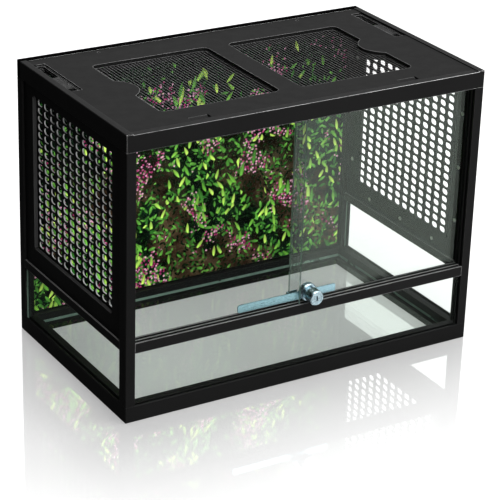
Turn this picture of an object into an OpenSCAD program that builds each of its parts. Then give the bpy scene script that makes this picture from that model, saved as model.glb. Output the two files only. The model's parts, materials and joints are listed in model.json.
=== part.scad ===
// Glass terrarium for reptiles: a plastic frame that clips together round glass panes, two sliding
// glass doors with a ratchet lock, perforated vent panels in the sides, and a lift-off screen cover.
// Origin: middle of the footprint at the base. +X right, +Y to the back, +Z up. Millimetres.

/* [Enclosure] */
// Width of the frame, left to right
body_w = 520; // [440:1:640]
// Depth of the frame, front to back, without the lock
body_d = 302; // [280:1:400]
// Height of the frame
body_h = 384; // [340:1:480]
// Bevel on the outer edges of the frame
edge_bevel = 0.8; // [0.3:0.1:1.5]

/* [Frame] */
// Width of the corner posts, seen from the front
post_w = 13; // [11:0.5:18]
// Depth of the two rear posts
rear_post_d = 14; // [13:0.5:18]
// Height of the base frame
base_h = 22; // [18:0.5:34]
// Height of the top frame
top_h = 23.6; // [22:0.2:34]
// Width of the side beams of the base and top frames
side_beam_w = 17; // [15:0.5:22]
// Side of the square tenon at each end of a post
tenon_w = 5; // [4:0.5:6]
// Length of that tenon
tenon_h = 8; // [4:0.5:10]
// Clearance round a tenon in its socket
tenon_fit = 0.15; // [0.05:0.05:0.3]

/* [Glass] */
// Thickness of every pane
glass_t = 4; // [3:0.5:5]
// Clearance on each side of a pane in its groove
pane_fit = 0.3; // [0.2:0.1:0.5]
// Depth of the grooves that hold the panes
groove_depth = 4.5; // [3:0.5:5]
// Distance from the frame's side face to the side panes
side_inset = 2.8; // [2:0.2:4]
// Distance from the frame's rear face to the rear pane
rear_inset = 3; // [2:0.5:4]
// Height of the floor pane's underside above the ground
floor_z = 8; // [5:0.5:12]
// Width of the ledge under the floor pane
floor_ledge = 8; // [5:0.5:14]

/* [Tracks and doors] */
// Width of each rib beside the door grooves
track_rib = 2.6; // [2:0.2:4]
// Height of the lower track's underside
lower_track_z = 95; // [70:1:130]
// Height of the lower track
lower_track_h = 13.6; // [12:0.2:20]
// Depth of the door grooves in the lower track
lower_groove_depth = 3.9; // [2.5:0.1:5]
// Depth of the door grooves in the upper track
upper_groove_depth = 12; // [9:0.5:13]
// Wall of the upper track, in front of and above its grooves
upper_track_wall = 1; // [0.8:0.1:1.4]
// Free height above a door in the upper track, to lift it out
door_lift = 5; // [3:0.5:6]
// Place of the front door's right edge, from the middle
front_door_edge = -6.7; // [-30:0.1:30]
// Overlap of the two doors
door_overlap = 11.8; // [8:0.2:30]

/* [Side rails and vents] */
// Height of the rail between the side glass and the vent panel
side_rail_h = 11.5; // [10.5:0.5:16]
// Width of that rail, from the frame's side face inward
side_rail_w = 11; // [9.5:0.5:16]
// Height of that rail's underside
side_rail_z = 96; // [70:1:130]
// Width of the flat border round a vent's recess
vent_border = 25.5; // [18:0.5:32]
// Width of that border at the top
vent_border_top = 13; // [8:0.5:20]
// Depth of the recess, from the panel's outer face
vent_recess = 5.2; // [3:0.2:6]
// Radius of the recess's corners
vent_corner_r = 4; // [2:0.5:8]
// Wall of the recess
vent_wall = 2; // [1.5:0.1:3]
// Length of a vent hole, front to back
vent_hole_l = 13.4; // [8:0.2:15]
// Height of a vent hole
vent_hole_h = 8.4; // [4:0.2:9]
// Distance between vent holes, front to back
vent_pitch_y = 17.9; // [16.5:0.1:24]
// Distance between vent holes, up and down
vent_pitch_z = 11; // [10.5:0.1:16]
// Least distance from a hole to the recess's wall
vent_margin = 3; // [2:0.5:8]
// Thickness of the inner frame that backs a vent panel
vent_frame_t = 2; // [1.5:0.1:3]
// Shank diameter of the small screws
screw_d = 2.6; // [2:0.1:3]
// Head diameter of the small screws
screw_head_d = 5.4; // [4:0.1:6.5]
// Head height of the small screws
screw_head_h = 1.5; // [1:0.1:2]
// Distance from a vent's recess to the screws round it
vent_screw_inset = 14; // [9:0.5:14.5]
// Distance between the screws on one side of a vent
vent_screw_pitch = 76; // [50:1:80]
// Depth that the small screws bite into a panel
screw_bite = 2.6; // [1.5:0.1:2.8]

/* [Top cover] */
// Width of the raised rim round the cover
rim_w = 8.7; // [7:0.1:11]
// Width of the front beam beside the cover
front_lip = 11; // [9:0.5:14]
// Height of the rim above the cover
rim_step = 1.2; // [0.6:0.1:2]
// Gap between the cover and what surrounds it
cover_gap = 0.4; // [0.3:0.1:0.8]
// Thickness of the cover's plate
cover_t = 5; // [4.4:0.1:6]
// Height of the cover, with its skirt
cover_h = 7.7; // [7.4:0.1:9]
// Wall of the cover's skirt
skirt_t = 2.5; // [2:0.1:4]
// Width of the bar between the two windows
window_bar = 31; // [24:1:50]
// Distance from the frame's side to a window
window_side = 74.5; // [60:0.5:100]
// Distance from the frame's front to a window
window_front = 54; // [44:1:80]
// Distance from the frame's rear to a window
window_rear = 61; // [40:1:80]
// Radius of a window's corners
window_r = 9; // [4:0.5:20]
// Depth of the finger bay on a window's outer edge
bay_depth = 17.5; // [8:0.5:24]
// Length of that bay
bay_l = 60; // [40:1:80]
// Place of that bay, from the middle of the depth
bay_y = -3; // [-20:1:20]
// Thickness of the screen
screen_t = 0.5; // [0.4:0.1:0.8]
// Distance between the screen's wires, which run front to back
screen_pitch = 3; // [3:0.5:12]
// Distance between the wires across them
screen_cross_pitch = 46; // [20:1:60]
// Width of the screen's wires
screen_wire = 0.9; // [0.6:0.1:1.5]
// Thickness of the frame that holds a screen
screen_frame_t = 6; // [4:0.5:8]
// Width of that frame
screen_frame_w = 10; // [8:0.5:14]

/* [Cover clips] */
// Distance of each clip from the middle
clip_x = 152; // [100:1:180]
// Width of a clip's slot
clip_slot_w = 28; // [20:1:36]
// Length of a clip's slot, front to back
clip_slot_d = 9.5; // [8:0.5:11]
// Gap beside a clip in its slot
clip_gap = 1.2; // [0.8:0.1:2]
// Thickness of a clip's tongue at its free end
clip_t = 2.9; // [2:0.1:3.2]
// How far a clip's hinge end lies below the cover's face
clip_sink = 0.4; // [0.2:0.1:1]
// Diameter of the two holes by which the cover's rear is pulled up
pull_hole_d = 4; // [3:0.5:6]
// Distance of those holes from the cover's rear edge
pull_hole_inset = 9; // [7:0.5:12]

/* [Cable inlets] */
// Width of an inlet, with its walls
inlet_w = 16; // [14:0.5:20]
// Length of an inlet
inlet_l = 106; // [90:1:120]
// Place of an inlet's front end, from the middle of the depth
inlet_y = 16; // [0:1:30]
// How far an inlet's top lies below the cover's face
inlet_sink = 2; // [1:0.1:2.2]
// Depth of the shutter's channel, below the cover's face
inlet_depth = 5.2; // [5:0.1:5.6]
// Wall of an inlet
inlet_wall = 1.7; // [1.4:0.1:2.5]
// Overhang of the lips that hold the shutter
inlet_lip = 1.2; // [0.8:0.1:1.6]
// Length of the cable hole
inlet_hole_l = 36; // [24:1:38]
// Distance from the channel's rear end to the cable hole
inlet_hole_inset = 4; // [2:0.5:5]
// Length of the shutter
shutter_l = 44; // [40:1:46]
// Thickness of the shutter's flanges
shutter_flange_t = 1.3; // [1:0.1:2]
// Distance from the open shutter to the cable hole
shutter_rest = 5; // [1:0.5:6]
// How far the shutter's top lies below the inlet's
shutter_sink = 0.5; // [0.2:0.1:1]
// Distance between the shutter's ridges
ridge_pitch = 4; // [3:0.5:6]
// Depth of the grooves between those ridges
ridge_depth = 0.8; // [0.4:0.1:1.2]
// Running gap round the shutter
shutter_gap = 0.25; // [0.15:0.05:0.4]

/* [Lock] */
// Place of the lock's axis, above the ribs of the lower track
lock_above_track = 12.9; // [12.8:0.1:20]
// Radius of the lock's flange
lock_flange_r = 12.4; // [10:0.1:12.6]
// Length of that flange
lock_flange_h = 8; // [6:0.5:10]
// Radius of the lock's neck
lock_neck_r = 8.2; // [7.5:0.1:9]
// Radius of the lock's head
lock_head_r = 10.2; // [9:0.1:12]
// Length of the lock's neck
lock_neck_h = 5; // [3:0.5:8]
// Length of the lock's head
lock_head_h = 14; // [10:0.5:20]
// Radius of the plug that the key turns
plug_r = 6.5; // [5:0.1:7]
// Running gap round the plug
plug_gap = 0.06; // [0.03:0.01:0.1]
// Depth of the plug's bore
plug_bore_h = 8; // [6:0.5:9]
// Length of the toothed strip
strip_l = 146.5; // [120:0.5:150]
// Height of the toothed strip
strip_h = 10.8; // [8:0.2:12]
// Height of the toothed strip's lower edge above the ribs of the lower track
strip_above_track = 3.6; // [3:0.1:4.5]
// Thickness of the toothed strip
strip_t = 1.4; // [1:0.1:1.5]
// Length of the strip that lies before the rear door
strip_right = 68.5; // [50:0.5:80]
// Length of the claw's leg behind the rear door
claw_l = 14; // [8:0.5:20]
// Distance between the strip's teeth
tooth_pitch = 2.5; // [2:0.1:4]
// Depth of the strip's teeth
tooth_depth = 0.9; // [0.5:0.1:1.2]

/* [Background] */
// Thickness of the printed sheet behind the rear pane
sheet_t = 0.8; // [0.5:0.1:1.2]

/* [Hidden] */
$fn = 64;

LEFT = -1;
RIGHT = 1;
eps = 0.01;   // how far a cut runs past a face
body_gap = 0.3; // gap between flat faces that move past each other

frame_black = "#1c1c1c";
cover_grey = "#3a3a3a";
glass_tint = [0.75, 0.85, 0.82, 0.35];
metal = "#b9c3c8";

// Faces of the frame
side_x = body_w/2;
front_y = -body_d/2;
rear_y = body_d/2;
top_z = body_h;
beam_z = body_h - top_h;               // underside of the top frame

// Grooves and tracks
groove_w = glass_t + 2*pane_fit;
pane_in = groove_depth - pane_fit;     // how far a pane enters its groove
track_d = 3*track_rib + 2*groove_w;
front_pane_y = front_y + track_rib + groove_w/2;
rear_door_y = front_pane_y + track_rib + groove_w;
track_rear_y = front_y + track_d;
post_x = side_x - post_w;              // inner face of the posts
rear_post_y = rear_y - rear_post_d;    // front face of the rear posts
side_pane_x = side_x - side_inset - glass_t/2;
rear_pane_y = rear_y - rear_inset - glass_t/2;
lower_track_top = lower_track_z + lower_track_h;
side_rail_top = side_rail_z + side_rail_h;
beam_inner_x = side_x - side_beam_w;

// Seat of the cover
seat_x = side_x - rim_w;
seat_front_y = front_y + front_lip;
seat_rear_y = rear_y - rim_w;
cover_top = top_z - rim_step;
cover_z = cover_top - cover_h;
seat_z = cover_z - body_gap;
cover_x = seat_x - cover_gap;
cover_front_y = seat_front_y + cover_gap;
cover_rear_y = seat_rear_y - cover_gap;
cover_underside = cover_top - cover_t;

// Doors
door_z = lower_track_top - lower_groove_depth + body_gap;
door_top = beam_z + upper_groove_depth - door_lift;
front_door_left = -(post_x + pane_in);
rear_door_right = post_x + pane_in;
rear_door_edge = front_door_edge - door_overlap;

// Lock, along an axis that runs to the front
lock_x = front_door_edge + body_gap + lock_flange_r;
lock_z = lower_track_top + lock_above_track;
lock_rear_y = rear_door_y - glass_t/2 - body_gap;
lock_h = lock_flange_h + lock_neck_h + lock_head_h;
lock_proud = front_y - (lock_rear_y - lock_h);
strip_z = lower_track_top + strip_above_track;
strip_y = lock_rear_y - strip_t;       // front face of the strip
strip_end = rear_door_edge + strip_right;

// Vents
vent_y0 = track_rear_y + vent_border;
vent_y1 = rear_post_y - vent_border;
vent_z0 = side_rail_top + vent_border;
vent_z1 = beam_z - vent_border_top;
vent_outer_x = side_pane_x + glass_t/2;
vent_inner_x = side_pane_x - glass_t/2;
vent_floor_x = vent_outer_x - vent_recess;
vent_columns = floor((vent_y1 - vent_y0 - vent_hole_l - 2*vent_margin)/vent_pitch_y) + 1;
vent_rows = floor((vent_z1 - vent_z0 - vent_hole_h - 2*vent_margin)/vent_pitch_z) + 1;
vent_mid = [(vent_y0 + vent_y1)/2, (vent_z0 + vent_z1)/2];
tray_gap = 0.2;                        // gap between a recess's wall and the frame round it

// Cable inlets
inlet_x1 = seat_x - cover_gap;
inlet_x0 = inlet_x1 - inlet_w;
inlet_top = cover_top - inlet_sink;
inlet_floor_z = cover_top - inlet_depth;
inlet_channel_x0 = inlet_x0 + inlet_wall;
inlet_channel_x1 = inlet_x1 - inlet_wall;
inlet_rear_y = inlet_y + inlet_l;
inlet_hole_y1 = inlet_rear_y - inlet_wall - inlet_hole_inset;
inlet_hole_y0 = inlet_hole_y1 - inlet_hole_l;
shutter_y0 = inlet_hole_y0 - shutter_rest - shutter_l;
shutter_top = inlet_top - shutter_sink;

// The frame stands so that the lock and the rear face lie at equal distances from the origin.
module in_place() translate([0, lock_proud/2, 0]) children();

module block(low, high) translate(low) cube(high - low);

// Square with its four corners cut off
module bevelled_square(low, high, c) polygon([
    [low[0] + c, low[1]], [high[0] - c, low[1]], [high[0], low[1] + c], [high[0], high[1] - c],
    [high[0] - c, high[1]], [low[0] + c, high[1]], [low[0], high[1] - c], [low[0], low[1] + c]]);

// Block with every edge bevelled: the part that its three bevelled outlines share
module bevelled_block(low, high, c) intersection() {
    translate([0, 0, low[2]]) linear_extrude(high[2] - low[2])
        bevelled_square([low[0], low[1]], [high[0], high[1]], c);
    translate([0, high[1], 0]) rotate([90, 0, 0]) linear_extrude(high[1] - low[1])
        bevelled_square([low[0], low[2]], [high[0], high[2]], c);
    translate([low[0], 0, 0]) rotate([90, 0, 90]) linear_extrude(high[0] - low[0])
        bevelled_square([low[1], low[2]], [high[1], high[2]], c);
}

module on_side(side) {
    if (side == RIGHT) mirror([1, 0, 0]) children();
    else children();
}

// Grooves for the side panes, the rear pane and the front pane, from z0 up to z1
module pane_grooves(z0, z1) {
    for (side = [LEFT, RIGHT]) on_side(side)
        block([-side_pane_x - groove_w/2, track_rear_y - groove_depth, z0],
            [-side_pane_x + groove_w/2, rear_post_y + groove_depth, z1]);
    block([-post_x - groove_depth, rear_pane_y - groove_w/2, z0],
        [post_x + groove_depth, rear_pane_y + groove_w/2, z1]);
}

module front_pane_groove(z0, z1)
    block([-post_x - groove_depth, front_pane_y - groove_w/2, z0],
        [post_x + groove_depth, front_pane_y + groove_w/2, z1]);

// A post's tenons, or with a clearance the sockets for them
tenon_inset = 2;
module corner_tenons(z0, z1, fit) {
    for (sx = [-1, 1], sy = [-1, 1])
        translate([sx*(side_x - tenon_inset - tenon_w/2), sy*(rear_y - tenon_inset - tenon_w/2), z0])
            translate([-tenon_w/2 - fit, -tenon_w/2 - fit, 0])
                cube([tenon_w + 2*fit, tenon_w + 2*fit, z1 - z0]);
}

module base_frame() color(frame_black) difference() {
    bevelled_block([-side_x, front_y, 0], [side_x, rear_y, base_h], edge_bevel);
    block([-beam_inner_x, track_rear_y, floor_z], [beam_inner_x, rear_post_y, base_h + eps]);
    block([-beam_inner_x + floor_ledge, track_rear_y + floor_ledge, -eps],
        [beam_inner_x - floor_ledge, rear_post_y - floor_ledge, floor_z + eps]);
    pane_grooves(base_h - groove_depth, base_h + eps);
    front_pane_groove(base_h - groove_depth, base_h + eps);
    corner_tenons(base_h - tenon_h - tenon_fit, base_h + eps, tenon_fit);
}

module floor_glass() color(glass_tint)
    block([-beam_inner_x + pane_fit, track_rear_y + pane_fit, floor_z],
        [beam_inner_x - pane_fit, rear_post_y - pane_fit, floor_z + glass_t]);

// Outline of the left front post: a groove for each door, and one for the side pane
module front_post_outline() difference() {
    polygon([[-side_x + edge_bevel, front_y], [-post_x, front_y], [-post_x, track_rear_y],
        [-side_x, track_rear_y], [-side_x, front_y + edge_bevel]]);
    for (y = [front_pane_y, rear_door_y])
        translate([-post_x - groove_depth, y - groove_w/2]) square([groove_depth + eps, groove_w]);
    translate([-side_pane_x - groove_w/2, track_rear_y - groove_depth])
        square([groove_w, groove_depth + eps]);
}

module rear_post_outline() difference() {
    polygon([[-side_x + edge_bevel, rear_y], [-post_x, rear_y], [-post_x, rear_post_y],
        [-side_x, rear_post_y], [-side_x, rear_y - edge_bevel]]);
    translate([-post_x - groove_depth, rear_pane_y - groove_w/2])
        square([groove_depth + eps, groove_w]);
    translate([-side_pane_x - groove_w/2, rear_post_y - eps])
        square([groove_w, groove_depth + eps]);
}

// A post between the base and top frames, with a tenon at each end; y_side is -1 in front, 1 behind
module post(side, y_side) color(frame_black) on_side(side) {
    translate([0, 0, base_h]) linear_extrude(beam_z - base_h)
        if (y_side < 0) front_post_outline();
        else rear_post_outline();
    tenon_x = -side_x + tenon_inset;
    tenon_y = y_side < 0 ? front_y + tenon_inset : rear_y - tenon_inset - tenon_w;
    translate([tenon_x, tenon_y, base_h - tenon_h])
        cube([tenon_w, tenon_w, beam_z - base_h + 2*tenon_h]);
}

// Pocket for the upper track in the front beam
upper_track_front_y = front_pane_y - groove_w/2 - upper_track_wall;
upper_track_top = beam_z + upper_groove_depth + upper_track_wall;

module top_frame() color(cover_grey) difference() {
    bevelled_block([-side_x, front_y, beam_z], [side_x, rear_y, top_z], edge_bevel);
    block([-seat_x, seat_front_y, seat_z], [seat_x, seat_rear_y, top_z + eps]);
    // The rim stops short of the front beam, which is level with the cover.
    block([-seat_x, front_y - eps, cover_top], [seat_x, seat_front_y + eps, top_z + eps]);
    block([-beam_inner_x, track_rear_y, beam_z - eps], [beam_inner_x, rear_post_y, seat_z + eps]);
    block([-post_x, upper_track_front_y, beam_z - eps], [post_x, track_rear_y + eps, upper_track_top]);
    // The doors' outer edges run up into the ends of the front beam.
    track_grooves(post_x + groove_depth, beam_z - eps, beam_z + upper_groove_depth);
    pane_grooves(beam_z - eps, beam_z + groove_depth);
    corner_tenons(beam_z - eps, beam_z + tenon_h + tenon_fit, tenon_fit);
    for (side = [LEFT, RIGHT]) on_side(side)
        block([-inlet_channel_x1 + inlet_lip, inlet_hole_y0, beam_z - eps],
            [-beam_inner_x + eps, inlet_hole_y1, seat_z + eps]);
}

// Grooves for the two doors, reaching x to each side
module track_grooves(x, z0, z1)
    for (y = [front_pane_y, rear_door_y]) block([-x, y - groove_w/2, z0], [x, y + groove_w/2, z1]);

module upper_track() color(frame_black) difference() {
    block([-post_x, upper_track_front_y, beam_z], [post_x, track_rear_y, upper_track_top]);
    track_grooves(post_x + eps, beam_z - eps, beam_z + upper_groove_depth);
}

module lower_track() color(frame_black) difference() {
    block([-post_x, front_y, lower_track_z], [post_x, track_rear_y, lower_track_top]);
    track_grooves(post_x + eps, lower_track_top - lower_groove_depth, lower_track_top + eps);
    block([-post_x - eps, front_pane_y - groove_w/2, lower_track_z - eps],
        [post_x + eps, front_pane_y + groove_w/2, lower_track_z + groove_depth]);
}

module side_rail(side) color(frame_black) on_side(side) difference() {
    block([-side_x, track_rear_y, side_rail_z], [-side_x + side_rail_w, rear_post_y, side_rail_top]);
    for (z = [side_rail_z, side_rail_top])
        block([-side_pane_x - groove_w/2, track_rear_y - eps, z - groove_depth],
            [-side_pane_x + groove_w/2, rear_post_y + eps, z + groove_depth]);
}

module front_lower_glass() color(glass_tint)
    block([-post_x - pane_in, front_pane_y - glass_t/2, base_h - groove_depth],
        [post_x + pane_in, front_pane_y + glass_t/2, lower_track_z + pane_in]);

module side_glass(side) color(glass_tint) on_side(side)
    block([-side_pane_x - glass_t/2, track_rear_y - pane_in, base_h - groove_depth],
        [-side_pane_x + glass_t/2, rear_post_y + pane_in, side_rail_z + pane_in]);

module rear_glass() color(glass_tint)
    block([-post_x - pane_in, rear_pane_y - glass_t/2, base_h - groove_depth],
        [post_x + pane_in, rear_pane_y + glass_t/2, beam_z + pane_in]);

module background_sheet() color("forestgreen")
    block([-post_x + body_gap, rear_pane_y + glass_t/2, base_h + body_gap],
        [post_x - body_gap, rear_pane_y + glass_t/2 + sheet_t, beam_z - body_gap]);

// Slot with round ends, long side along the first axis
module obround(l, h) {
    square([l - h, h], center = true);
    for (s = [-1, 1]) translate([s*(l - h)/2, 0]) circle(d = h, $fn = 24);
}

module vent_holes()
    for (i = [0:vent_columns - 1], j = [0:vent_rows - 1])
        translate([vent_mid[0] + (i - (vent_columns - 1)/2)*vent_pitch_y,
                vent_mid[1] + (j - (vent_rows - 1)/2)*vent_pitch_z])
            obround(vent_hole_l, vent_hole_h);

// Turns an outline drawn in Y and Z into a plate from x0 to x1
module plate_x(x0, x1) translate([x0, 0, 0]) rotate([90, 0, 90]) linear_extrude(x1 - x0) children();

module rect(low, high) translate(low) square(high - low);

module rounded_rect(low, high, r) {
    rect([low[0] + r, low[1]], [high[0] - r, high[1]]);
    rect([low[0], low[1] + r], [high[0], high[1] - r]);
    for (x = [low[0] + r, high[0] - r], y = [low[1] + r, high[1] - r])
        translate([x, y]) circle(r, $fn = 32);
}

// Outline of a vent's recess, moved out by g
module recess_outline(g) rounded_rect([vent_y0 - g, vent_z0 - g], [vent_y1 + g, vent_z1 + g],
    vent_corner_r + g);

screw_fit = 0.1;                       // what a hole is wider than its screw

// Screws in the middle of the border: three on each side of the vent
vent_screw_y = [vent_y0 - vent_screw_inset, vent_y1 + vent_screw_inset];
vent_screw_z = [vent_z0 - vent_screw_inset, vent_z1 + vent_border_top/2];
vent_screw_places = concat(
    [for (y = vent_screw_y, k = [-1:1]) [y, vent_mid[1] + k*vent_screw_pitch]],
    [for (z = vent_screw_z, k = [-1:1]) [vent_mid[0] + k*vent_screw_pitch, z]]);

module at_vent_screws() for (p = vent_screw_places) translate(p) children();

// Panel with a recessed, perforated middle; its edges sit in the grooves of the frame
module vent_panel(side) color(frame_black) on_side(side) {
    difference() {
        plate_x(-vent_outer_x, -vent_inner_x) difference() {
            rect([track_rear_y - pane_in, side_rail_top - pane_in],
                [rear_post_y + pane_in, beam_z + pane_in]);
            recess_outline(0);
        }
        plate_x(-vent_inner_x - screw_bite - screw_fit, -vent_inner_x + eps)
            at_vent_screws() circle(d = screw_d + screw_fit, $fn = 24);
    }
    plate_x(-vent_inner_x, -vent_floor_x) difference() {
        recess_outline(vent_wall);
        recess_outline(0);
    }
    plate_x(-vent_floor_x, -vent_floor_x + vent_wall) difference() {
        recess_outline(vent_wall);
        vent_holes();
    }
}

// Frame round the back of the recess, held to the panel by the screws
module vent_frame(side) color(frame_black) on_side(side)
    plate_x(-vent_inner_x, -vent_inner_x + vent_frame_t) difference() {
        rect([track_rear_y + body_gap, side_rail_top], [rear_post_y - body_gap, beam_z]);
        recess_outline(vent_wall + tray_gap);
        at_vent_screws() circle(d = screw_d + screw_fit, $fn = 24);
    }

// Pan-head screw with a cross recess: its head stands on z = 0 and its shank runs down
screw_cross_l = screw_head_d*0.6;
screw_cross_w = 0.6;
module small_screw(shank_l) difference() {
    union() {
        translate([0, 0, -shank_l]) cylinder(d = screw_d, h = shank_l + eps, $fn = 24);
        rotate_extrude($fn = 32) polygon([[0, 0], [screw_head_d/2, 0],
            [screw_head_d/2, screw_head_h/2], [screw_cross_l/2, screw_head_h], [0, screw_head_h]]);
    }
    for (a = [0, 90]) rotate(a) translate([-screw_cross_l/2, -screw_cross_w/2, screw_head_h/2])
        cube([screw_cross_l, screw_cross_w, screw_head_h]);
}

module vent_screws(side) color(metal) on_side(side)
    for (p = vent_screw_places)
        translate([-vent_inner_x + vent_frame_t, p[0], p[1]]) rotate([0, 90, 0])
            small_screw(vent_frame_t + screw_bite);

// Points along an arc, from angle a0 to a1
function arc(c, r, a0, a1, n = 8) = [for (i = [0:n]) let (a = a0 + (a1 - a0)*i/n)
    [c[0] + r*cos(a), c[1] + r*sin(a)]];

// Edges of the right window
window_x0 = window_bar/2;
window_x1 = side_x - window_side;
window_y0 = front_y + window_front;
window_y1 = rear_y - window_rear;
bay_power = 2.2;                       // shape of the finger bay's curve
bay_steps = 10;
// Outline of the right window, moved out by g: round corners and a finger bay in the outer edge
function window_points(g) = concat(
    arc([window_x0 + window_r, window_y0 + window_r], window_r + g, 180, 270),
    arc([window_x1 - window_r, window_y0 + window_r], window_r + g, 270, 360),
    [for (i = [-bay_steps:bay_steps]) let (t = i/bay_steps)
        [window_x1 + g - bay_depth*(1 - pow(abs(t), bay_power)), bay_y + t*bay_l/2]],
    arc([window_x1 - window_r, window_y1 - window_r], window_r + g, 0, 90),
    arc([window_x0 + window_r, window_y1 - window_r], window_r + g, 90, 180));

module window(side, g = 0) mirror([side == LEFT ? 1 : 0, 0]) polygon(window_points(g));

// Outline of the cover, drawn in by g, with a notch for each cable inlet
module cover_outline(g) {
    x1 = cover_x - g;
    nx = inlet_x0 - cover_gap - g;
    ny0 = inlet_y - cover_gap - g;
    ny1 = inlet_rear_y + cover_gap + g;
    y0 = cover_front_y + g;
    y1 = cover_rear_y - g;
    polygon([[-x1, y0], [x1, y0], [x1, ny0], [nx, ny0], [nx, ny1], [x1, ny1], [x1, y1],
        [-x1, y1], [-x1, ny1], [-nx, ny1], [-nx, ny0], [-x1, ny0]]);
}

clip_slot_y0 = cover_front_y + skirt_t;
pull_hole_y = cover_rear_y - pull_hole_inset;

module clip_slots() for (s = [-1, 1])
    translate([s*clip_x - clip_slot_w/2, clip_slot_y0]) square([clip_slot_w, clip_slot_d]);

// Places of the screws that hold the screen frames, in the middle of the frame's width
screen_border = screen_frame_w/2;      // width of a screen's edge under its frame
screen_screw_mid = screen_border + screw_d/2 + 1;
screen_screw_places = [for (s = [-1, 1], x = [window_x0 + window_r, window_x1 - window_r],
    y = [window_y0 - screen_screw_mid, window_y1 + screen_screw_mid]) [s*x, y]];

module top_cover() color(cover_grey) {
    difference() {
        translate([0, 0, cover_underside]) linear_extrude(cover_t) difference() {
            cover_outline(0);
            window(LEFT);
            window(RIGHT);
            clip_slots();
            for (s = [-1, 1]) translate([s*clip_x, pull_hole_y]) circle(d = pull_hole_d, $fn = 24);
        }
        translate([0, 0, cover_underside - eps]) linear_extrude(screw_bite + screw_fit)
            for (p = screen_screw_places) translate(p) circle(d = screw_d + screw_fit, $fn = 24);
    }
    translate([0, 0, cover_z]) linear_extrude(cover_underside - cover_z) difference() {
        cover_outline(0);
        cover_outline(skirt_t);
    }
}

// Sprung tongue in each slot: a ramp that a finger presses, hung from the slot's rear edge
clip_heel = 2;                         // length of the level ends of the tongue
clip_lift = 0.5;                       // height of its underside above the skirt's edge
module cover_clips() color(cover_grey) for (s = [-1, 1]) {
    y1 = clip_slot_y0 + clip_slot_d;
    y0 = clip_slot_y0 + clip_gap;
    z0 = cover_z + clip_lift;
    translate([s*clip_x - clip_slot_w/2 + clip_gap, 0, 0]) rotate([90, 0, 90])
        linear_extrude(clip_slot_w - 2*clip_gap)
            polygon([[y1, cover_top - clip_sink], [y1, cover_underside], [y1 - clip_heel, z0],
                [y0, z0], [y0, z0 + clip_t], [y0 + clip_heel, z0 + clip_t]]);
}

// Wire screen with a border that the screen frame clamps
module screen(side) color(frame_black) translate([0, 0, cover_underside - screen_t])
    linear_extrude(screen_t) {
        difference() {
            window(side, screen_border);
            window(side, 0);
        }
        intersection() {
            window(side, screen_border - eps);
            screen_wires(side);
        }
    }

module screen_wires(side) {
    x0 = side == LEFT ? -window_x1 : window_x0;
    span_x = window_x1 - window_x0;
    span_y = window_y1 - window_y0;
    nx = floor(span_x/screen_pitch);
    ny = floor(span_y/screen_cross_pitch);
    for (i = [1:nx])
        translate([x0 + i*span_x/(nx + 1) - screen_wire/2, window_y0 - screen_border])
            square([screen_wire, span_y + 2*screen_border]);
    for (j = [1:ny])
        translate([x0 - screen_border, window_y0 + j*span_y/(ny + 1) - screen_wire/2])
            square([span_x + 2*screen_border, screen_wire]);
}

module screen_frame(side) color(frame_black)
    translate([0, 0, cover_underside - screen_t - screen_frame_t]) linear_extrude(screen_frame_t)
        difference() {
            window(side, screen_frame_w);
            window(side, 0);
            for (p = screen_screw_places) translate(p) circle(d = screw_d + screw_fit, $fn = 24);
        }

module screen_screws() color(metal) for (p = screen_screw_places)
    translate([p[0], p[1], cover_underside - screen_t - screen_frame_t]) rotate([180, 0, 0])
        small_screw(screen_frame_t + screen_t + screw_bite);

// Channel for a sliding shutter, with a cable hole in its rear half
module inlet(side) color(cover_grey) on_side(side) difference() {
    block([-inlet_x1, inlet_y, seat_z], [-inlet_x0, inlet_rear_y, inlet_top]);
    block([-inlet_channel_x1, inlet_y + inlet_wall, inlet_floor_z],
        [-inlet_channel_x0, inlet_rear_y - inlet_wall, inlet_floor_z + shutter_flange_t + 2*shutter_gap]);
    block([-inlet_channel_x1 + inlet_lip, inlet_y + inlet_wall, inlet_floor_z],
        [-inlet_channel_x0 - inlet_lip, inlet_rear_y - inlet_wall, inlet_top + eps]);
    block([-inlet_channel_x1 + inlet_lip, inlet_hole_y0, seat_z - eps],
        [-inlet_channel_x0 - inlet_lip, inlet_hole_y1, inlet_floor_z + eps]);
}

// Shutter with flanges under the channel's lips and ridges for a finger
module inlet_shutter(side) color(frame_black) on_side(side) {
    z0 = inlet_floor_z + shutter_gap;
    x0 = -inlet_channel_x1 + shutter_gap;
    x1 = -inlet_channel_x0 - shutter_gap;
    block([x0, shutter_y0, z0], [x1, shutter_y0 + shutter_l, z0 + shutter_flange_t]);
    difference() {
        block([x0 + inlet_lip, shutter_y0, z0 + shutter_flange_t],
            [x1 - inlet_lip, shutter_y0 + shutter_l, shutter_top]);
        for (k = [1:floor(shutter_l/ridge_pitch) - 1])
            block([x0 + inlet_lip - eps, shutter_y0 + k*ridge_pitch, shutter_top - ridge_depth],
                [x1 - inlet_lip + eps, shutter_y0 + (k + 1/2)*ridge_pitch, shutter_top + eps]);
    }
}

module front_door() color(glass_tint)
    block([front_door_left, front_pane_y - glass_t/2, door_z],
        [front_door_edge, front_pane_y + glass_t/2, door_top]);

module rear_door() color(glass_tint)
    block([rear_door_edge, rear_door_y - glass_t/2, door_z],
        [rear_door_right, rear_door_y + glass_t/2, door_top]);

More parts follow.
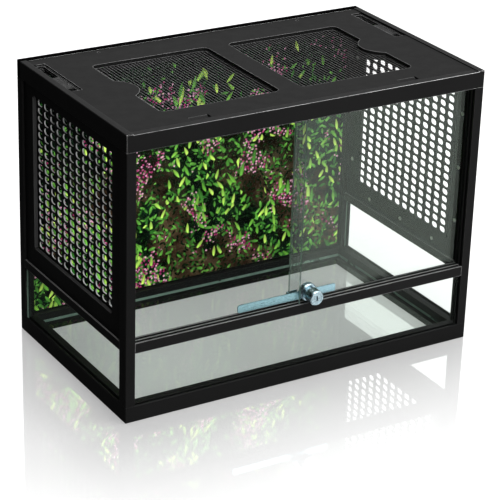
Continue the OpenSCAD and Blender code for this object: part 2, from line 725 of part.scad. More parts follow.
// Ratchet strip before the rear door. Its claw grips that door's free edge.
strip_tail_r = 3;
strip_nose_r = 2;
tooth_flank = 0.15;                    // steep flank of a tooth, as a share of the pitch
tooth_count = floor(0.8*strip_right/tooth_pitch);
function strip_outline() = concat(
    arc([strip_end - strip_l + strip_tail_r, strip_z + strip_tail_r], strip_tail_r, 270, 180, 4),
    arc([strip_end - strip_l + strip_tail_r, strip_z + strip_h - strip_tail_r], strip_tail_r, 180, 90, 4),
    arc([strip_end - strip_nose_r, strip_z + strip_h - strip_nose_r], strip_nose_r, 90, 0, 4),
    [for (k = [0:tooth_count - 1]) each [
        [strip_end - k*tooth_pitch, strip_z],
        [strip_end - (k + tooth_flank)*tooth_pitch, strip_z + tooth_depth]]],
    [[strip_end - tooth_count*tooth_pitch, strip_z]]);

module lock_strip() color(metal) {
    translate([0, strip_y + strip_t, 0]) rotate([90, 0, 0]) linear_extrude(strip_t)
        polygon(strip_outline());
    claw_x = rear_door_edge - body_gap;
    claw_rear_y = rear_door_y + glass_t/2 + body_gap + strip_t;
    block([claw_x - strip_t, strip_y + strip_t, strip_z], [claw_x, claw_rear_y, strip_z + strip_h]);
    block([claw_x, claw_rear_y - strip_t, strip_z], [claw_x + claw_l, claw_rear_y, strip_z + strip_h]);
}

// Lock body, turned about an axis that runs to the front, with a channel for the strip behind
module along_lock() translate([lock_x, lock_rear_y, lock_z]) rotate([90, 0, 0]) children();

head_z = lock_flange_h + lock_neck_h;
lock_edge = 0.8;                       // chamfer on the lock's rear and inner edges
flange_edge = 1.5;                     // chamfer on the flange's front edge
head_edge = 1.4;                       // chamfer on the head's front edge
grip_count = 24;
grip_r = 0.8;
grip_out = 0.3;                        // how far a grip groove's middle lies outside the flange
strip_slot_fit = 0.3;

module lock_outline() polygon([[0, 0], [lock_flange_r - lock_edge, 0], [lock_flange_r, lock_edge],
    [lock_flange_r, lock_flange_h - flange_edge], [lock_flange_r - flange_edge, lock_flange_h],
    [lock_neck_r, lock_flange_h], [lock_neck_r, head_z], [lock_head_r - lock_edge, head_z],
    [lock_head_r, head_z + lock_edge], [lock_head_r, lock_h - head_edge],
    [lock_head_r - head_edge, lock_h], [0, lock_h]]);

module lock_housing() color(metal) difference() {
    along_lock() rotate_extrude() lock_outline();
    along_lock() translate([0, 0, lock_h - plug_bore_h])
        cylinder(r = plug_r + plug_gap, h = plug_bore_h + eps);
    along_lock() for (k = [0:grip_count - 1]) rotate(k*360/grip_count)
        translate([lock_flange_r + grip_out, 0, flange_edge])
            cylinder(r = grip_r, h = lock_flange_h, $fn = 16);
    block([lock_x - lock_flange_r - eps, strip_y - strip_slot_fit, strip_z - strip_slot_fit],
        [lock_x + lock_flange_r + eps, lock_rear_y + eps, strip_z + strip_h + strip_slot_fit]);
}

key_slot = [1.8, 7, 5];                // width, height and depth
plug_h = plug_bore_h - 2*body_gap;

module lock_plug() color(metal) along_lock()
    translate([0, 0, lock_h - plug_bore_h + body_gap]) difference() {
        cylinder(r = plug_r, h = plug_h);
        translate([-key_slot[0]/2, -key_slot[1]/2, plug_h - key_slot[2]])
            cube([key_slot[0], key_slot[1], key_slot[2] + eps]);
    }

in_place() base_frame();
in_place() floor_glass();
in_place() post(LEFT, -1);  // front_post_left
in_place() post(RIGHT, -1);  // front_post_right
in_place() post(LEFT, 1);  // rear_post_left
in_place() post(RIGHT, 1);  // rear_post_right
in_place() top_frame();
in_place() upper_track();
in_place() lower_track();
in_place() side_rail(LEFT);  // side_rail_left
in_place() side_rail(RIGHT);  // side_rail_right
in_place() front_lower_glass();
in_place() side_glass(LEFT);  // side_glass_left
in_place() side_glass(RIGHT);  // side_glass_right
in_place() rear_glass();
in_place() background_sheet();
in_place() vent_panel(LEFT);  // vent_panel_left
in_place() vent_panel(RIGHT);  // vent_panel_right
in_place() vent_frame(LEFT);  // vent_frame_left
in_place() vent_frame(RIGHT);  // vent_frame_right
in_place() vent_screws(LEFT);  // vent_screws_left
in_place() vent_screws(RIGHT);  // vent_screws_right
in_place() inlet(LEFT);  // inlet_left
in_place() inlet(RIGHT);  // inlet_right
in_place() inlet_shutter(LEFT);  // inlet_shutter_left
in_place() inlet_shutter(RIGHT);  // inlet_shutter_right
in_place() front_door();
in_place() rear_door();
in_place() lock_strip();
in_place() lock_housing();
in_place() lock_plug();
in_place() top_cover();
in_place() cover_clips();
in_place() screen(LEFT);  // screen_left
in_place() screen(RIGHT);  // screen_right
in_place() screen_frame(LEFT);  // screen_frame_left
in_place() screen_frame(RIGHT);  // screen_frame_right
in_place() screen_screws();
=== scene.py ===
"""Looks of the glass terrarium: materials for every solid, woven wire screens, stage, light and camera."""

import json
import math

import bmesh
import bpy
from mathutils import Euler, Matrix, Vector


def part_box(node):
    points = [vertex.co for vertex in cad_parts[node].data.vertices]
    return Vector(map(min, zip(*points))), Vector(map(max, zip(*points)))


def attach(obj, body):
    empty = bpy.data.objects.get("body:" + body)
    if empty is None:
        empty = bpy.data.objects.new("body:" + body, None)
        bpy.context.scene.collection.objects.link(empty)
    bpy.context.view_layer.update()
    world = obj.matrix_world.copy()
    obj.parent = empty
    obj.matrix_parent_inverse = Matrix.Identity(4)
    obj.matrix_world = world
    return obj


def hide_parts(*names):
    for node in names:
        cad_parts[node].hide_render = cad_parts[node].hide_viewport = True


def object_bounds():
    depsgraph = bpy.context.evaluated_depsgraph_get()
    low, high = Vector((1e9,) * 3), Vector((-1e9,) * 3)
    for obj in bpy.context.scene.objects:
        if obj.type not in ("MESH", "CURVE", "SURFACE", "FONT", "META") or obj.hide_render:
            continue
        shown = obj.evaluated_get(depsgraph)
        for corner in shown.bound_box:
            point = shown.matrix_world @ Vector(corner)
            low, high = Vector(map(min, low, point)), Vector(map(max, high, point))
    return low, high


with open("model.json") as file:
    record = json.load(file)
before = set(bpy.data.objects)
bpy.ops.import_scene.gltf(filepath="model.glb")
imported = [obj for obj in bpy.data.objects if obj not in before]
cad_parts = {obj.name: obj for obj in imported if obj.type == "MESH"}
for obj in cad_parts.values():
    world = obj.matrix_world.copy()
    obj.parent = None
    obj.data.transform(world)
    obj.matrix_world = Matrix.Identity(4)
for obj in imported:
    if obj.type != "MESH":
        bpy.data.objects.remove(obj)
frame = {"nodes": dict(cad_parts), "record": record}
cad_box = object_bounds()
NODES = frame["nodes"]
SIDES = ("left", "right")
MM = 0.001
X_AXIS, Y_AXIS, Z_AXIS = range(3)


# ---- Node helpers ----


class Graph:
    """The nodes of a material or world. Each call adds a node and gives an output socket."""

    def __init__(self, tree):
        self.tree = tree
        tree.nodes.clear()

    def add(self, kind, inputs=None, **settings):
        node = self.tree.nodes.new(kind)
        for key, value in settings.items():
            setattr(node, key, value)
        for key, value in (inputs or {}).items():
            if isinstance(value, bpy.types.NodeSocket):
                self.tree.links.new(value, node.inputs[key])
            else:
                node.inputs[key].default_value = value
        return node

    def math(self, operation, *values):
        inputs = dict(enumerate(values))
        return self.add("ShaderNodeMath", inputs, operation=operation).outputs[0]

    def vector(self, operation, *values):
        inputs = dict(enumerate(values))
        return self.add("ShaderNodeVectorMath", inputs, operation=operation).outputs[0]

    def ramp(self, value, low, high, to_low=0.0, to_high=1.0, smooth=True):
        """value from low to high, carried over to to_low to to_high and held there"""
        inputs = {"Value": value, "From Min": low, "From Max": high, "To Min": to_low, "To Max": to_high}
        kind = "SMOOTHSTEP" if smooth else "LINEAR"
        node = self.add("ShaderNodeMapRange", inputs, interpolation_type=kind)
        return node.outputs["Result"]

    def mix(self, factor, a, b):
        """Colour a where factor is 0 and b where it is 1"""
        node = self.add("ShaderNodeMix", data_type="RGBA")
        for index, value in ((0, factor), (6, a), (7, b)):
            if isinstance(value, bpy.types.NodeSocket):
                self.tree.links.new(value, node.inputs[index])
            else:
                node.inputs[index].default_value = value
        return node.outputs[2]

    def place(self):
        """The point of the surface in the row's frame, which rides with its body"""
        return self.add("ShaderNodeTexCoord").outputs["Object"]

    def noise(self, vector, scale, detail=3.0, roughness=0.5):
        inputs = {"Vector": vector, "Scale": scale, "Detail": detail, "Roughness": roughness}
        return self.add("ShaderNodeTexNoise", inputs).outputs[0]

    def split(self, vector):
        return self.add("ShaderNodeSeparateXYZ", {0: vector}).outputs

    def stretch(self, vector, factors):
        return self.vector("MULTIPLY", vector, factors)

    def bump(self, height, depth_mm, strength=1.0):
        inputs = {"Height": height, "Distance": depth_mm * MM, "Strength": strength}
        return self.add("ShaderNodeBump", inputs).outputs[0]

    def surface(self, shader):
        output = self.add("ShaderNodeOutputMaterial")
        self.tree.links.new(shader, output.inputs["Surface"])

    def blend_shaders(self, factor, a, b):
        node = self.add("ShaderNodeMixShader", {0: factor})
        self.tree.links.new(a, node.inputs[1])
        self.tree.links.new(b, node.inputs[2])
        return node.outputs[0]


def new_material(name):
    made = bpy.data.materials.new(name)
    made.use_nodes = True
    return made, Graph(made.node_tree)


def rgb(r, g, b):
    return (r, g, b, 1.0)


def grey(v):
    return rgb(v, v, v)


EDGE_RADIUS = 1.2 * MM     # of the rounding by which edges are found
EDGE_SAMPLES = 8


def near_edges(g):
    """Up to 1 beside a sharp edge, where a rounded edge's normal would turn away from the true one"""
    rounded = g.add("ShaderNodeBevel", {"Radius": EDGE_RADIUS}, samples=EDGE_SAMPLES).outputs[0]
    true = g.add("ShaderNodeNewGeometry").outputs["True Normal"]
    alike = g.add("ShaderNodeVectorMath", {0: rounded, 1: true}, operation="DOT_PRODUCT").outputs["Value"]
    return g.ramp(alike, 0.98, 0.85)


# ---- Materials ----


def level_tops(g, at):
    """1 on faces that lie level, which get a painted highlight on the tracks and rails"""
    normal = g.add("ShaderNodeNewGeometry").outputs["True Normal"]
    return g.ramp(g.split(normal)[Z_AXIS], 0.95, 0.99)


def vent_hole_walls(g, at):
    """1 on the walls of a vent's holes, and a little on the walls of the recess round them: the faces that
    get a painted highlight
    """
    normal = g.add("ShaderNodeNewGeometry").outputs["True Normal"]
    through = g.ramp(g.math("ABSOLUTE", g.split(normal)[X_AXIS]), 0.7, 0.3)
    _, y, z = g.split(at)
    inside = [g.ramp(place, end, end + way * MM, 0.12, 1.0) for place, end, way in (
        (y, RECESS_LOW[Y_AXIS], 1), (y, RECESS_HIGH[Y_AXIS], -1),
        (z, RECESS_LOW[Z_AXIS], 1), (z, RECESS_HIGH[Z_AXIS], -1))]
    for share in inside:
        through = g.math("MULTIPLY", through, share)
    return through


CLOUDS_PER_METRE = 9.0
RUBS_PER_METRE = (60.0, 60.0, 8.0)     # long marks, upright
GRAIN_DEPTH_MM = 0.03
PLASTIC_SPECULAR = 0.05


def moulded_plastic(
        name, tone, highlight_tone, roughness, grain_mm=0.35, smooth=None, lit_tone=0.1, highlight_share=None,
        dull=None):
    """Spark-eroded black plastic with a painted highlight along its edges, in highlight_tone, patchy with
    its rub marks. smooth marks faces that get a painted highlight in lit_tone. touched gives the share of
    the edge highlight that each place has, and dull the places that get painted shade in a darker matt."""
    made, g = new_material(name)
    at = g.place()
    clouds = g.noise(at, CLOUDS_PER_METRE)
    rubs = g.noise(g.stretch(at, RUBS_PER_METRE), 1.0, detail=5.0)
    grain = g.noise(at, 1.0 / (grain_mm * MM), detail=1.5)
    body = g.mix(g.ramp(clouds, 0.35, 0.65), grey(tone * 0.96), grey(tone * 1.04))
    # painted highlight: the plastic is paler along its edges, in highlight_tone, patchy with the rub marks
    edge_highlight = g.math("MULTIPLY", near_edges(g), g.ramp(rubs, 0.25, 0.7, 0.55, 1.0))
    if highlight_share is not None:
        edge_highlight = g.math("MULTIPLY", edge_highlight, highlight_share(g, at))
    colour = g.mix(edge_highlight, body, grey(highlight_tone))
    # painted highlight: the faces that smooth marks are paler, in lit_tone
    if smooth is not None:
        lit_share = g.math("MULTIPLY", smooth(g, at), g.ramp(rubs, 0.2, 0.7, 0.6, 1.0))
        colour = g.mix(lit_share, colour, grey(lit_tone))
    rough = g.ramp(rubs, 0.3, 0.7, roughness - 0.02, roughness + 0.03)
    shader = g.add("ShaderNodeBsdfPrincipled", {
        "Base Color": colour, "Roughness": rough, "Specular IOR Level": PLASTIC_SPECULAR,
        "Normal": g.bump(grain, GRAIN_DEPTH_MM, 0.5)}).outputs[0]
    # painted shade: where dull is 1, a darker matt diffuse takes over
    if dull is not None:
        matt = g.add("ShaderNodeBsdfDiffuse", {"Color": grey(0.3 * tone), "Roughness": 1.0}).outputs[0]
        shader = g.blend_shaders(dull(g, at), shader, matt)
    g.surface(shader)
    return made


GLASS_IOR = 1.5
GLASS_TINT = rgb(0.98, 0.993, 0.985)
# painted reflection tint: the glass's reflection is tinted green
GLASS_GLOSS = rgb(0.88, 1.0, 0.9)
GROUND_TONES = (rgb(0.16, 0.26, 0.21), rgb(0.4, 0.52, 0.46))
GROUND_SHARE = 0.55        # how much of a ground rim hides what is behind it


def float_glass(name, across, shine):
    """Clear float glass. across is the axis through the pane, and faces round its rim are green. shine
    is the share of plain glass's reflection that the pane shows, set pane by pane as a painted reflection
    strength."""
    made, g = new_material(name)
    at = g.place()
    smudges = g.noise(at, 14.0, detail=6.0, roughness=0.6)
    ripple = g.noise(at, 5.0, detail=1.0)
    wavy = g.bump(ripple, 0.02, 0.3)
    inside = g.add("ShaderNodeNewGeometry").outputs["Backfacing"]
    ior = g.ramp(inside, 0.0, 1.0, GLASS_IOR, 1.0 / GLASS_IOR, smooth=False)
    fresnel = g.add("ShaderNodeFresnel", {"IOR": ior, "Normal": wavy}).outputs[0]
    clear = g.add("ShaderNodeBsdfTransparent", {"Color": GLASS_TINT}).outputs[0]
    gloss = g.add("ShaderNodeBsdfGlossy", {
        "Color": GLASS_GLOSS, "Roughness": g.ramp(smudges, 0.45, 0.75, 0.0, 0.05),
        "Normal": wavy}).outputs[0]
    pane = g.blend_shaders(g.math("MULTIPLY", fresnel, shine), clear, gloss)
    ground = g.add("ShaderNodeBsdfPrincipled", {
        "Base Color": g.mix(g.noise(at, 40.0), *GROUND_TONES),
        "Roughness": g.ramp(smudges, 0.3, 0.7, 0.2, 0.35), "Specular IOR Level": 0.6}).outputs[0]
    rim = g.blend_shaders(GROUND_SHARE, clear, ground)
    facing = g.split(g.vector("ABSOLUTE", g.add("ShaderNodeNewGeometry").outputs["True Normal"]))
    g.surface(g.blend_shaders(g.ramp(facing[across], 0.9, 0.6), pane, rim))
    return made


SCRATCHES_PER_METRE = 2600.0
SCRATCH_ENDS_PER_METRE = 60.0
PATCHES_PER_METRE = 330.0
PATCH_TONE = 0.55          # share of the metal's own tone that a cloudy patch keeps


def plated_metal(name, tone, roughness, scratch_axis, mottle=0.0):
    """Bright plating with fine scratches along one axis and, where mottle is over 0, cloudy patches"""
    made, g = new_material(name)
    at = g.place()
    scale = [SCRATCHES_PER_METRE] * 3
    scale[scratch_axis] = SCRATCH_ENDS_PER_METRE
    scratches = g.noise(g.stretch(at, scale), 1.0, detail=2.0)
    patches = g.noise(at, PATCHES_PER_METRE, detail=3.0)
    dull = tuple(PATCH_TONE * c for c in tone[:3]) + (1.0,)
    colour = g.mix(g.ramp(patches, 0.42, 0.62, 0.0, mottle), tone, dull)
    rough = g.ramp(scratches, 0.3, 0.7, roughness * 0.7, roughness * 1.4)
    shader = g.add("ShaderNodeBsdfPrincipled", {
        "Base Color": colour, "Metallic": 1.0, "Roughness": rough,
        "Normal": g.bump(g.math("ADD", scratches, patches), 0.02, 0.6)})
    g.surface(shader.outputs[0])
    return made


def leaf_layer(g, below, spot, per_metre, shift, shape, lean, share, tones):
    """Leaves laid over the colour below: one in each Voronoi cell that the share lets have one.
    shape is half a leaf's length and width in cells, lean its least and most turn in degrees."""
    half_length, half_width = shape
    cells = g.vector("ADD", g.vector("MULTIPLY", spot, (per_metre,) * 3), (shift, shift * 0.7, 0.0))
    cell = g.add("ShaderNodeTexVoronoi", {"Vector": cells, "Scale": 1.0}, voronoi_dimensions="2D")
    chance = g.split(cell.outputs["Color"])
    away = g.vector("SUBTRACT", cells, cell.outputs["Position"])
    turn = g.ramp(chance[0], 0.0, 1.0, math.radians(lean[0]), math.radians(lean[1]), smooth=False)
    turned = g.add("ShaderNodeVectorRotate", {"Vector": away, "Angle": turn}, rotation_type="Z_AXIS")
    along, across = g.split(turned.outputs[0])[:2]
    across = g.math("ABSOLUTE", across)
    part = g.math("DIVIDE", along, half_length)
    taper = g.math("SUBTRACT", 1.0, g.math("MULTIPLY", part, part))
    past = g.math("SUBTRACT", across, g.math("MULTIPLY", taper, half_width))
    mask = g.math("MULTIPLY", g.ramp(past, 0.03, -0.03), g.math("LESS_THAN", chance[1], share))
    tone = g.mix(g.ramp(chance[2], 0.1, 0.9), tones[0], tones[1])
    light = g.math("ADD", g.ramp(part, -1.0, 1.0, 0.45, 1.0), g.ramp(across, 0.05, 0.0, 0.0, 0.35))
    lit = g.add("ShaderNodeVectorMath", {0: tone, 1: light}, operation="MULTIPLY").outputs[0]
    return g.mix(mask, below, lit)


DEEP_LEAVES = (rgb(0.002, 0.008, 0.003), rgb(0.008, 0.035, 0.008))
MIDDLE_LEAVES = (rgb(0.04, 0.18, 0.03), rgb(0.2, 0.52, 0.09))
SUNNY_LEAVES = (rgb(0.22, 0.55, 0.08), rgb(0.72, 0.95, 0.2))
PETALS = (rgb(0.5, 0.03, 0.2), rgb(0.95, 0.5, 0.7))
SHADE_TONES = (rgb(0.001, 0.002, 0.001), rgb(0.006, 0.02, 0.01))
EARTH_TONES = (rgb(0.03, 0.014, 0.008), rgb(0.16, 0.1, 0.06))
EVERY_WAY = (-180.0, 180.0)    # degrees
RISING = (40.0, 140.0)
FILM_BACK = grey(0.6)
FILM_BACK_SHARE = 0.9      # how much of the print the film's white back hides
PRINT_SPECULAR = 0.03


def printed_garden(name):
    """A printed film: dark shrubs above, lit leaves and blossom below, in no particular place. Its back
    is plain white film through which a little of the print shows."""
    made, g = new_material(name)
    at = g.place()
    x, _, z = g.split(at)
    spot = g.add("ShaderNodeCombineXYZ", {0: x, 1: z}).outputs[0]
    masses = g.noise(spot, 9.0, detail=3.0)
    gaps = g.noise(spot, 26.0, detail=4.0, roughness=0.6)
    low_down = g.ramp(z, 0.26, 0.1)
    thin_above = g.ramp(z, 0.34, 0.22, 0.15, 1.0)
    open_share = g.math("MULTIPLY", g.ramp(masses, 0.4, 0.6), thin_above)

    soil = g.mix(g.ramp(gaps, 0.4, 0.62), *SHADE_TONES)
    earth = g.mix(g.ramp(gaps, 0.35, 0.7), *EARTH_TONES)
    colour = g.mix(g.math("MULTIPLY", low_down, g.ramp(masses, 0.52, 0.46)), soil, earth)

    in_gaps = g.math("MULTIPLY", g.ramp(gaps, 0.4, 0.6), thin_above)
    middling = g.math("MULTIPLY", open_share, 0.75)
    beds = g.math("MULTIPLY", g.ramp(g.noise(spot, 13.0), 0.5, 0.6), g.ramp(z, 0.36, 0.3))
    sunny = g.math("MULTIPLY", open_share, 0.6)
    tall = g.math("MULTIPLY", g.ramp(g.noise(spot, 6.0), 0.52, 0.6), 0.8)
    # from the rearmost: cells per metre, shift, shape, lean, share, tones
    for layer in (
            (150.0, 0.0, (0.6, 0.24), EVERY_WAY, 0.8, DEEP_LEAVES),
            (120.0, 7.3, (0.6, 0.22), EVERY_WAY, in_gaps, MIDDLE_LEAVES),
            (90.0, 3.1, (0.62, 0.2), EVERY_WAY, middling, MIDDLE_LEAVES),
            (210.0, 5.7, (0.42, 0.34), EVERY_WAY, beds, PETALS),
            (70.0, 1.9, (0.64, 0.17), RISING, sunny, SUNNY_LEAVES),
            (42.0, 9.4, (0.68, 0.13), RISING, tall, SUNNY_LEAVES),
            (50.0, 2.6, (0.66, 0.15), RISING, tall, MIDDLE_LEAVES)):
        colour = leaf_layer(g, colour, spot, *layer)

    behind = g.split(g.add("ShaderNodeNewGeometry").outputs["True Normal"])[Y_AXIS]
    showing = g.mix(FILM_BACK_SHARE, colour, FILM_BACK)
    colour = g.mix(g.ramp(behind, -0.5, 0.5), colour, showing)
    shader = g.add("ShaderNodeBsdfPrincipled", {
        "Base Color": colour, "Roughness": g.ramp(g.noise(at, 30.0), 0.3, 0.7, 0.28, 0.4),
        "Specular IOR Level": PRINT_SPECULAR, "Normal": g.bump(g.noise(at, 6.0), 0.2, 0.3)})
    g.surface(shader.outputs[0])
    return made


def coated_wire(name, tone):
    """Satin black wire, a little paler where its coat has thinned"""
    made, g = new_material(name)
    at = g.place()
    wear = g.noise(at, 120.0, detail=3.0)
    shader = g.add("ShaderNodeBsdfPrincipled", {
        "Base Color": g.mix(g.ramp(wear, 0.4, 0.7), grey(tone), grey(1.5 * tone)),
        "Roughness": g.ramp(wear, 0.3, 0.7, 0.4, 0.55),
        "Normal": g.bump(g.noise(at, 3000.0), 0.01)})
    g.surface(shader.outputs[0])
    return made


OPENINGS = {space["name"]: space["box_m"] for space in frame["record"]["physics"]["openings"]}
RECESS_LOW, RECESS_HIGH = OPENINGS["vent_recess_left"]
TOP_LOW, TOP_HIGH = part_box("top_frame")
COVER_LOW, COVER_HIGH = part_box("top_cover")


def front_edge_highlight(g, at):
    """Share of the top frame's painted edge highlight: full on its front edge, brighter towards the right,
    and a little elsewhere.
    """
    x, y, _ = g.split(at)
    in_front = g.ramp(y, TOP_LOW.y + 3 * MM, TOP_LOW.y + MM, 0.08, 1.0)
    return g.math("MULTIPLY", in_front, g.ramp(x, TOP_LOW.x, TOP_HIGH.x, 0.5, 1.0))


def rear_rim_shade(g, at):
    """1 on the top frame's rear rim, which gets painted shade"""
    return g.ramp(g.split(at)[Y_AXIS], COVER_HIGH.y - MM, COVER_HIGH.y)


def cover_edge_highlight(g, at):
    """Share of the cover's painted edge highlight: most on its rear edge, less round its windows, none on
    its front and side edges.
    """
    x, y, _ = g.split(at)
    past_front = g.ramp(y, COVER_LOW.y + 12 * MM, COVER_LOW.y + 15 * MM)
    between_sides = g.ramp(g.math("ABSOLUTE", x), COVER_HIGH.x - 3 * MM, COVER_HIGH.x - 5 * MM)
    at_rear = g.ramp(y, COVER_HIGH.y - 4 * MM, COVER_HIGH.y - 3 * MM, 0.35, 1.0)
    return g.math("MULTIPLY", g.math("MULTIPLY", past_front, between_sides), at_rear)


# The second tone of each plastic is the tone of its painted highlight along the edges
BLACK_FRAME = moulded_plastic("frame_black", 0.01, 0.025, 0.38)
# painted shade on the rear rim, and a painted highlight along the front edge
BLACK_RIM = moulded_plastic("rim_black", 0.01, 0.8, 0.38, highlight_share=front_edge_highlight, dull=rear_rim_shade)
# painted highlight on the level tops of the tracks and rails
BLACK_TRACK = moulded_plastic("track_black", 0.011, 0.25, 0.38, smooth=level_tops, lit_tone=0.12)
# painted highlight on the walls of the left vent's holes and recess; the right vent's copy below has none
BLACK_VENT = moulded_plastic("vent_black", 0.009, 0.04, 0.4, smooth=vent_hole_walls, lit_tone=0.4)
BLACK_VENT_RIGHT = moulded_plastic("vent_black_right", 0.009, 0.04, 0.4)
# painted highlight on the cover's rear edge and round its windows
BLACK_COVER = moulded_plastic("cover_black", 0.009, 0.7, 0.5, grain_mm=0.6, highlight_share=cover_edge_highlight)
BLACK_CLIP = moulded_plastic("clip_black", 0.013, 0.1, 0.5, grain_mm=0.6)
BLACK_INLET = moulded_plastic("inlet_black", 0.01, 0.2, 0.4)
BLACK_SHUTTER = moulded_plastic("shutter_black", 0.015, 0.1, 0.4)
LONG_WIRE = coated_wire("screen_rolled_wire", 0.085)
CROSS_WIRE = coated_wire("screen_cross_wire", 0.025)
SCREW_STEEL = plated_metal("screw_steel", rgb(0.78, 0.78, 0.76), 0.34, Z_AXIS)
LOCK_CHROME = plated_metal("lock_chrome", rgb(0.44, 0.56, 0.61), 0.22, X_AXIS, mottle=0.6)
STRIP_CHROME = plated_metal("strip_chrome", rgb(0.33, 0.5, 0.56), 0.34, X_AXIS, mottle=0.2)
GARDEN = printed_garden("garden_film")
# shine per pane is a painted reflection strength, least on the front door and rear pane, most on the rear
# door
PANES = {
    "front_door": float_glass("door_glass_clean", Y_AXIS, 0.06),
    "front_lower_glass": float_glass("lower_glass", Y_AXIS, 0.2),
    "rear_door": float_glass("door_glass", Y_AXIS, 0.85),
    "rear_glass": float_glass("rear_pane_glass", Y_AXIS, 0.05),
    "side_glass_left": float_glass("side_glass", X_AXIS, 0.5),
    "floor_glass": float_glass("floor_pane_glass", Z_AXIS, 0.5)}
PANES["side_glass_right"] = PANES["side_glass_left"]

SLOT_LOOKS = {
    "frame_plastic": BLACK_FRAME, "vent_plastic": BLACK_VENT, "cover_plastic": BLACK_COVER,
    "shutter_plastic": BLACK_SHUTTER, "screen_wire": CROSS_WIRE, "screw_steel": SCREW_STEEL,
    "lock_metal": LOCK_CHROME, "background_print": GARDEN}
SPECIAL_LOOKS = {
    "lock_strip": STRIP_CHROME, "cover_clips": BLACK_CLIP, "top_frame": BLACK_RIM,
    "inlet_left": BLACK_INLET, "inlet_right": BLACK_INLET, "vent_panel_right": BLACK_VENT_RIGHT,
    "lower_track": BLACK_TRACK, "side_rail_left": BLACK_TRACK, "side_rail_right": BLACK_TRACK}

for part in frame["record"]["subparts"]:
    node = NODES[part["node"]]
    if part["material_slot"] == "glass":
        look = PANES[part["node"]]
    elif part["node"] in SPECIAL_LOOKS:
        look = SPECIAL_LOOKS[part["node"]]
    else:
        look = SLOT_LOOKS[part["material_slot"]]
    for material_slot in node.material_slots:
        material_slot.material = look


# ---- Woven screens ----

WIRE_PITCH = 5 * MM
WIRE_R = 0.12 * MM         # half a wire's height, so that two that cross fill the screen's thickness
LONG_HALF_W = 0.35 * MM    # half the width of the rolled wires, front to back
CROSS_HALF_W = 0.08 * MM   # half the width of the wires across them
WIRE_SIDES = 6
LONG_INDEX, CROSS_INDEX = range(2)     # places of the two wires' materials on the mesh


def woven_wire(mesh, start, step, count, weave_up, half_width, material_index):
    """One wire through count crossings, over and under in turn, as a flattened tube"""
    up_dir = Vector((0, 0, 1))
    side_dir = up_dir.cross(step).normalized() * half_width
    rings = []
    for i in range(count):
        centre = start + step * i + up_dir * (WIRE_R if (i + weave_up) % 2 else -WIRE_R)
        ring = []
        for k in range(WIRE_SIDES):
            turn = 2 * math.pi * (k + 0.5) / WIRE_SIDES
            offset = side_dir * math.cos(turn) + up_dir * WIRE_R * math.sin(turn)
            ring.append(mesh.verts.new(centre + offset))
        rings.append(ring)
    for a, b in zip(rings, rings[1:]):
        for k in range(WIRE_SIDES):
            n = (k + 1) % WIRE_SIDES
            mesh.faces.new((a[k], b[k], b[n], a[n])).material_index = material_index
    mesh.faces.new(rings[0])
    mesh.faces.new(reversed(rings[-1]))


def woven_screen(name, node):
    """A woven mesh in place of a screen's node, in the middle of its box"""
    low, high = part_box(node)
    nx = int((high.x - low.x - 2 * LONG_HALF_W) / WIRE_PITCH) + 1
    ny = int((high.y - low.y - 2 * LONG_HALF_W) / WIRE_PITCH) + 1
    first_x = (low.x + high.x - (nx - 1) * WIRE_PITCH) / 2
    first_y = (low.y + high.y - (ny - 1) * WIRE_PITCH) / 2
    z = (low.z + high.z) / 2
    mesh = bmesh.new()
    step_x, step_y = Vector((WIRE_PITCH, 0, 0)), Vector((0, WIRE_PITCH, 0))
    for i in range(nx):
        start = Vector((first_x + i * WIRE_PITCH, first_y, z))
        woven_wire(mesh, start, step_y, ny, i, LONG_HALF_W, LONG_INDEX)
    for j in range(ny):
        start = Vector((first_x, first_y + j * WIRE_PITCH, z))
        woven_wire(mesh, start, step_x, nx, j + 1, CROSS_HALF_W, CROSS_INDEX)
    bmesh.ops.recalc_face_normals(mesh, faces=mesh.faces)
    data = bpy.data.meshes.new(name)
    mesh.to_mesh(data)
    mesh.free()
    for face in data.polygons:
        face.use_smooth = True
    data.materials.append(LONG_WIRE)
    data.materials.append(CROSS_WIRE)
    made = bpy.data.objects.new(name, data)
    bpy.context.scene.collection.objects.link(made)
    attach(made, "cover_body")
    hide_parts(node)


for side in SIDES:
    woven_screen("woven_screen_" + side, "screen_" + side)


# ---- Stage, light and camera ----


FLOOR_REACH = 12.0
FLOOR_DROP = 0.2 * MM      # how far it lies under the object, so that the two don't share a face
FLOOR_ALBEDO = 0.3         # with the glow, only just white, so that dark wires show against it
FLOOR_GLOW = 0.56
POLISH = 0.48              # share of a mirror's reflection beside the object, as the camera sees it
POLISH_REACH = 0.42
THROWN_POLISH = 0.186      # the same, as the object is lit by it
THROWN_POLISH_REACH = 0.6
THROWN_BACK = grey(0.2)    # what the floor throws back at the object
THROWN_BACK_LEFT = grey(0.04)
THROWN_BACK_CARD = grey(0.6)    # where the pale card lies


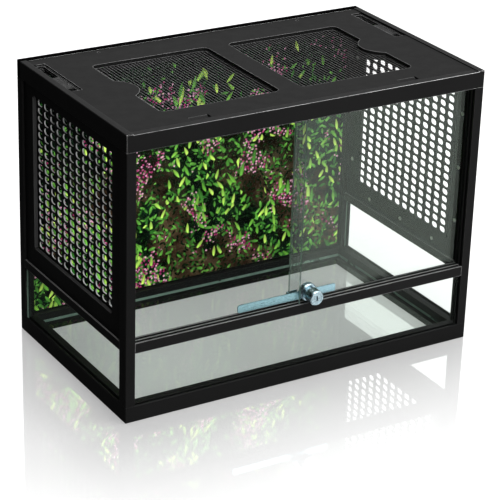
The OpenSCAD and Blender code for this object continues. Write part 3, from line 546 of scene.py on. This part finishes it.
def studio_floor():
    """A plain pale floor, polished round the object. It throws back less light than it shows, as if black
    cards lay round it, so that the black plastic stays black, and least at the left. A pale card lies in
    front, at the right."""
    made, g = new_material("pale_floor")
    at = g.place()
    footprint = [(high - low) / 2 for low, high in zip(cad_box[0], cad_box[1])]
    beside = g.vector("SUBTRACT", g.vector("ABSOLUTE", at), (footprint[X_AXIS], footprint[Y_AXIS], 0.0))
    beside = g.vector("MAXIMUM", beside, (0.0, 0.0, 0.0))
    outside = g.add("ShaderNodeVectorMath", {0: beside}, operation="LENGTH").outputs["Value"]
    seen = g.add("ShaderNodeLightPath").outputs["Is Camera Ray"]
    x, y, _ = g.split(at)
    card = g.math("MULTIPLY", g.ramp(x, -0.1, 0.3), g.ramp(y, -0.15, -0.3))
    at_left = g.ramp(x, -0.2, -0.3)
    thrown_back = g.mix(card, g.mix(at_left, THROWN_BACK, THROWN_BACK_LEFT), THROWN_BACK_CARD)
    matt = g.add("ShaderNodeBsdfPrincipled", {
        "Base Color": g.mix(seen, thrown_back, grey(FLOOR_ALBEDO)),
        "Roughness": g.ramp(g.noise(at, 2.0), 0.3, 0.7, 0.55, 0.65), "Specular IOR Level": 0.1,
        "Emission Color": grey(1.0), "Emission Strength": g.math("MULTIPLY", seen, FLOOR_GLOW)}).outputs[0]
    mirror = g.add("ShaderNodeBsdfGlossy", {"Color": grey(1.0), "Roughness": 0.03}).outputs[0]
    as_seen = g.ramp(outside, 0.0, POLISH_REACH, POLISH, 0.0, smooth=False)
    as_thrown = g.ramp(outside, 0.0, THROWN_POLISH_REACH, THROWN_POLISH, 0.0, smooth=False)
    polish = g.math("ADD", g.math("MULTIPLY", as_seen, seen),
                    g.math("MULTIPLY", as_thrown, g.math("SUBTRACT", 1.0, seen)))
    polish = g.math("MULTIPLY", polish, g.math("GREATER_THAN", outside, 0.0))
    g.surface(g.blend_shaders(polish, matt, mirror))
    data = bpy.data.meshes.new("studio_floor")
    corners = [(x, y, -FLOOR_DROP) for x, y in (
        (-FLOOR_REACH, -FLOOR_REACH), (FLOOR_REACH, -FLOOR_REACH),
        (FLOOR_REACH, FLOOR_REACH), (-FLOOR_REACH, FLOOR_REACH))]
    data.from_pydata(corners, [], [(0, 1, 2, 3)])
    data.materials.append(made)
    floor = bpy.data.objects.new("studio_floor", data)
    bpy.context.scene.collection.objects.link(floor)


LIGHT_ABOVE = 3.2          # each as a share of the light from in front
LIGHT_LEFT = 0.02
LIGHT_BEHIND = 0.65
LIGHT_RIGHT = 0.75


def studio_world():
    """White where the camera looks past the object. It lights from above most and from the left least,
    and a little less from behind and from the right."""
    world = bpy.data.worlds.new("studio")
    world.use_nodes = True
    bpy.context.scene.world = world
    g = Graph(world.node_tree)
    way = g.split(g.add("ShaderNodeTexCoord").outputs["Generated"])
    above = g.ramp(way[Z_AXIS], 0.3, 0.9, 1.0, LIGHT_ABOVE)
    left_dark = g.ramp(way[X_AXIS], -0.4, -0.05, LIGHT_LEFT, 1.0)
    behind = g.math(
        "MULTIPLY", g.ramp(way[Y_AXIS], 0.3, 0.9, 1.0, LIGHT_BEHIND),
        g.ramp(way[X_AXIS], 0.2, 0.8, 1.0, LIGHT_RIGHT))
    light = g.math("MULTIPLY", g.math("MULTIPLY", above, left_dark), behind)
    seen = g.add("ShaderNodeLightPath").outputs["Is Camera Ray"]
    strength = g.add("ShaderNodeMix", data_type="FLOAT")
    g.tree.links.new(seen, strength.inputs[0])
    g.tree.links.new(light, strength.inputs[2])
    strength.inputs[3].default_value = 1.0
    back = g.add("ShaderNodeBackground", {"Color": grey(1.0), "Strength": strength.outputs[0]})
    output = g.add("ShaderNodeOutputWorld")
    g.tree.links.new(back.outputs[0], output.inputs["Surface"])


studio_floor()
studio_world()


LIT_POINT = (0, 0, 0.2)    # about the object's middle
CAMERA_PLACE = (-1.3151625, -2.1379260, 1.2610300)
CAMERA_TURN = (65.66459967, -1.68179301, -30.86257829)    # degrees
CAMERA_LENS = 149.007
CAMERA_SENSOR = 36.0
FARTHEST_SEEN = 60.0


def soft_box(name, place, size, power):
    """A rectangular lamp that points at the object"""
    lamp = bpy.data.lights.new(name, "AREA")
    lamp.shape = "RECTANGLE"
    lamp.size, lamp.size_y = size
    lamp.energy = power
    made = bpy.data.objects.new(name, lamp)
    made.location = place
    made.rotation_euler = (Vector(LIT_POINT) - Vector(place)).to_track_quat("-Z", "Y").to_euler()
    bpy.context.scene.collection.objects.link(made)


soft_box("overhead_box", (0.1, -0.3, 1.9), size=(0.6, 1.2), power=16)
soft_box("front_box", (-0.5, -2.6, 0.9), size=(0.9, 0.9), power=46)

camera = bpy.data.objects.new("camera", bpy.data.cameras.new("camera"))
camera.location = CAMERA_PLACE
camera.rotation_euler = Euler([math.radians(a) for a in CAMERA_TURN])
camera.data.lens = CAMERA_LENS
camera.data.sensor_width = CAMERA_SENSOR
camera.data.clip_end = FARTHEST_SEEN
bpy.context.scene.collection.objects.link(camera)
bpy.context.scene.camera = camera
bpy.context.scene.view_settings.view_transform = "Standard"
bpy.context.scene.view_settings.look = "Medium High Contrast"
